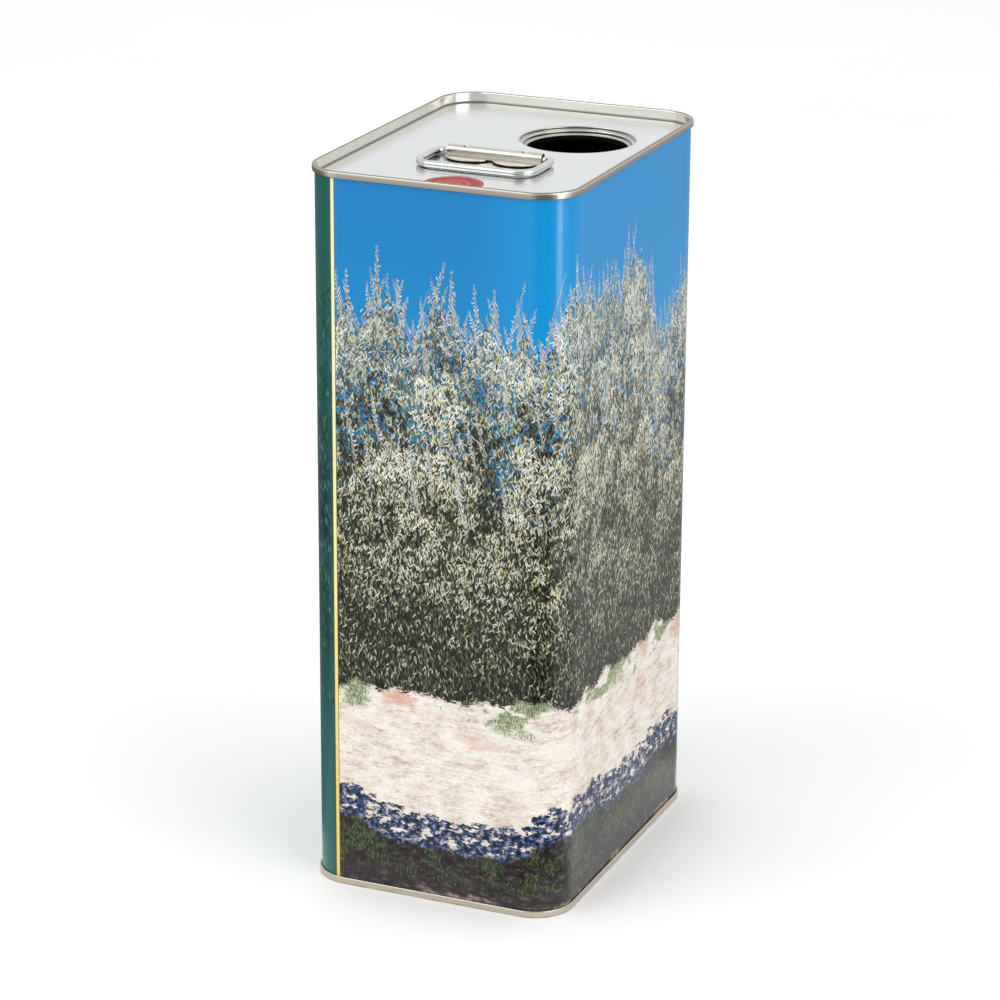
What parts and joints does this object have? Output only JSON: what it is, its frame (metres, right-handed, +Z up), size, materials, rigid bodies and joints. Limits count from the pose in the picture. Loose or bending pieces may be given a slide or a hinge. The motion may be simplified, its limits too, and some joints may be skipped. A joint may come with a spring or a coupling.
{
  "type": "oil tin",
  "caption": "Tall rectangular seamed tin with a recessed round mouth in its lid and a folding wire handle.",
  "frame": {"origin": "centre of the bottom seam's outline, at the level the tin stands on", "axes": "+Z up through the lid, -Y out of the printed front face, +X out of the right narrow side's edge"},
  "size_m": [0.115, 0.156, 0.308],
  "materials": {
    "printed_tinplate": "glossy printed and varnished tinplate: blue sky, silver-green leaves and pale ground",
    "lid_tinplate": "bright tinplate, softly reflecting",
    "base_tinplate": "bright tinplate, softly reflecting, a little dulled",
    "sealing_compound": "matt cured lining compound",
    "clip_tinplate": "bright rolled tinplate",
    "handle_wire": "drawn and tinned steel wire, satin"
  },
  "bodies": {
    "can": {"body_shell": "printed_tinplate", "top_end": "lid_tinplate", "bottom_end": "base_tinplate", "top_sealing_ring": "sealing_compound", "bottom_sealing_ring": "sealing_compound", "handle_clip": "clip_tinplate"},
    "bail": {"bail_handle": "handle_wire"}
  },
  "joints": [
    {"name": "bail_swing", "type": "hinge", "parent": "can", "child": "bail", "pos_m": [0.0018, -0.0162, 0.3053], "axis": [-1, 0, 0], "range_deg": [0, 180]}
  ]
}
